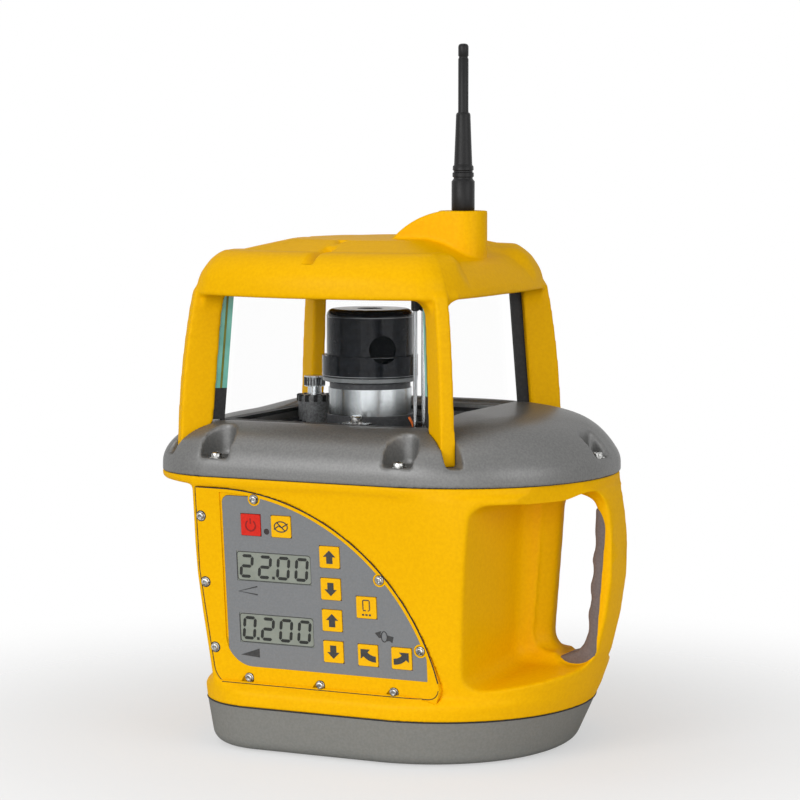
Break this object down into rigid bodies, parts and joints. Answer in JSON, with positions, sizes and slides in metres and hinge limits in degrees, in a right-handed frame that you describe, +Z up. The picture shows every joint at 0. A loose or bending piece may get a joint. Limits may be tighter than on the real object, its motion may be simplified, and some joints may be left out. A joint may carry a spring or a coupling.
{
  "type": "grade laser",
  "caption": "Rotating grade laser for site levelling: keypad housing with side handle, domed cover, windowed guard cage over a spinning head on a tilting spindle, antenna and tripod thread.",
  "frame": {"origin": "mouth of the tripod thread at the underside of the base, on the axis of the spinning head", "axes": "+Z up along the head's axis, -Y towards the control panel, +X towards the handle"},
  "size_m": [0.2567, 0.184, 0.38],
  "materials": {
    "yellow_plastic": "satin moulded, fine grain",
    "base_grey": "matt moulded, fine grain",
    "cover_grey": "semi-matt with a speckled grain",
    "grip_rubber": "matt rubber",
    "overlay_grey": "matt printed film",
    "key_yellow": "matt film",
    "key_red": "matt film",
    "display": "reflective liquid crystal behind clear plastic",
    "lamp": "clear dark red",
    "screw_steel": "bright zinc",
    "board_green": "solder mask",
    "seal_rubber": "matt black rubber",
    "window_glass": "polished flat glass",
    "rotor_black": "polished black",
    "optic_glass": "polished optical glass",
    "turned_steel": "turned",
    "cast_aluminium": "machined",
    "deck_dark": "matt black",
    "motor_black": "satin black",
    "magnet": "sintered",
    "brass": "machined",
    "cell_wrap": "shrink sleeve",
    "antenna_black": "satin black sleeve"
  },
  "bodies": {
    "housing": {"base_cover": "base_grey", "tripod_bush": "brass", "base_screws": "screw_steel", "main_housing": "yellow_plastic", "handle_grip": "grip_rubber", "control_panel": "yellow_plastic", "keypad_overlay": "overlay_grey", "panel_screws": "screw_steel", "display_upper": "display", "display_lower": "display", "status_lamp": "lamp", "main_board": "board_green", "upper_cover": "cover_grey", "cover_screws": "screw_steel", "deck_plate": "deck_dark", "window_seal_lower": "seal_rubber", "window_seal_upper": "seal_rubber", "window_front": "window_glass", "window_right": "window_glass", "window_rear": "window_glass", "window_left": "window_glass", "guard_cage": "yellow_plastic", "antenna_socket": "brass", "antenna": "antenna_black", "gimbal_pins": "turned_steel", "chassis": "cast_aluminium", "cross_motor": "motor_black", "long_motor": "motor_black", "adjuster_post": "motor_black", "battery_pack": "cell_wrap"},
    "gimbal": {"gimbal_ring": "cast_aluminium", "trunnion_pins": "turned_steel"},
    "spindle": {"spindle_housing": "turned_steel", "upper_bearing": "turned_steel", "lower_bearing": "turned_steel", "laser_module": "brass", "motor_stator": "magnet"},
    "rotor": {"rotor_cap": "rotor_black", "rotor_lens": "optic_glass", "rotor_base": "rotor_black", "prism": "optic_glass", "rotor_shaft": "turned_steel", "motor_magnet": "magnet", "encoder_disc": "turned_steel"},
    "cross_nut": {"cross_nut": "brass"},
    "cross_screw": {"cross_screw": "turned_steel"},
    "long_nut": {"long_nut": "brass"},
    "long_screw": {"long_screw": "turned_steel"},
    "adjuster": {"adjuster_knob": "turned_steel"},
    "battery_door": {"battery_door": "yellow_plastic"},
    "battery_latch": {"battery_latch": "cover_grey"},
    "key_power": {"key_power": "key_red"},
    "key_manual": {"key_manual": "key_yellow"},
    "key_up_upper": {"key_up_upper": "key_yellow"},
    "key_down_upper": {"key_down_upper": "key_yellow"},
    "key_up_lower": {"key_up_lower": "key_yellow"},
    "key_down_lower": {"key_down_lower": "key_yellow"},
    "key_mode": {"key_mode": "key_yellow"},
    "key_turn_left": {"key_turn_left": "key_yellow"},
    "key_turn_right": {"key_turn_right": "key_yellow"}
  },
  "joints": [
    {"name": "grade_cross", "type": "hinge", "parent": "housing", "child": "gimbal", "pos_m": [0, 0, 0.12], "axis": [1, 0, 0], "range_deg": [-5.7, 5.7]},
    {"name": "grade_long", "type": "hinge", "parent": "gimbal", "child": "spindle", "pos_m": [0, 0, 0.12], "axis": [0, 1, 0], "range_deg": [-5.7, 14]},
    {"name": "rotor_spin", "type": "hinge", "parent": "spindle", "child": "rotor", "pos_m": [0, 0, 0.2], "axis": [0, 0, 1], "continuous": true},
    {"name": "cross_nut_travel", "type": "slide", "parent": "housing", "child": "cross_nut", "axis": [0, 0, 1], "range_m": [-0.00577, 0.00577]},
    {"name": "cross_screw_turn", "type": "hinge", "parent": "housing", "child": "cross_screw", "pos_m": [0, 0.066, 0.12], "axis": [0, 0, 1], "range_deg": [-513.2, 513.2]},
    {"name": "long_nut_travel", "type": "slide", "parent": "housing", "child": "long_nut", "axis": [0, 0, 1], "range_m": [-0.00438, 0.01061]},
    {"name": "long_screw_turn", "type": "hinge", "parent": "housing", "child": "long_screw", "pos_m": [-0.043, 0.017, 0.14], "axis": [0, 0, 1], "range_deg": [-387.9, 948.5]},
    {"name": "adjuster_turn", "type": "hinge", "parent": "housing", "child": "adjuster", "pos_m": [-0.0455, 0.0215, 0.19], "axis": [0, 0, 1], "range_deg": [-180, 180]},
    {"name": "battery_door_swing", "type": "hinge", "parent": "housing", "child": "battery_door", "pos_m": [0.0065, 0.07917, 0.04217], "axis": [-1, 0, 0], "range_deg": [0, 88]},
    {"name": "battery_latch_turn", "type": "hinge", "parent": "battery_door", "child": "battery_latch", "pos_m": [0.0065, 0.08346, 0.06705], "axis": [0, 0.9958, -0.0911], "range_deg": [0, 90]},
    {"name": "key_power_press", "type": "slide", "parent": "housing", "child": "key_power", "axis": [0, 0.9958, 0.0911], "range_m": [0, 0.0006], "stiffness_N_per_m": 1500},
    {"name": "key_manual_press", "type": "slide", "parent": "housing", "child": "key_manual", "axis": [0, 0.9958, 0.0911], "range_m": [0, 0.0006], "stiffness_N_per_m": 1500},
    {"name": "key_up_upper_press", "type": "slide", "parent": "housing", "child": "key_up_upper", "axis": [0, 0.9958, 0.0911], "range_m": [0, 0.0006], "stiffness_N_per_m": 1500},
    {"name": "key_down_upper_press", "type": "slide", "parent": "housing", "child": "key_down_upper", "axis": [0, 0.9958, 0.0911], "range_m": [0, 0.0006], "stiffness_N_per_m": 1500},
    {"name": "key_up_lower_press", "type": "slide", "parent": "housing", "child": "key_up_lower", "axis": [0, 0.9958, 0.0911], "range_m": [0, 0.0006], "stiffness_N_per_m": 1500},
    {"name": "key_down_lower_press", "type": "slide", "parent": "housing", "child": "key_down_lower", "axis": [0, 0.9958, 0.0911], "range_m": [0, 0.0006], "stiffness_N_per_m": 1500},
    {"name": "key_mode_press", "type": "slide", "parent": "housing", "child": "key_mode", "axis": [0, 0.9958, 0.0911], "range_m": [0, 0.0006], "stiffness_N_per_m": 1500},
    {"name": "key_turn_left_press", "type": "slide", "parent": "housing", "child": "key_turn_left", "axis": [0, 0.9958, 0.0911], "range_m": [0, 0.0006], "stiffness_N_per_m": 1500},
    {"name": "key_turn_right_press", "type": "slide", "parent": "housing", "child": "key_turn_right", "axis": [0, 0.9958, 0.0911], "range_m": [0, 0.0006], "stiffness_N_per_m": 1500}
  ],
  "couplings": [
    {"joint": "cross_nut_travel", "follows": "grade_cross", "m_per_rad": 0.057},
    {"joint": "cross_screw_turn", "follows": "grade_cross", "ratio": 89.535},
    {"joint": "long_nut_travel", "follows": "grade_long", "m_per_rad": 0.043},
    {"joint": "long_screw_turn", "follows": "grade_long", "ratio": 67.544}
  ]
}
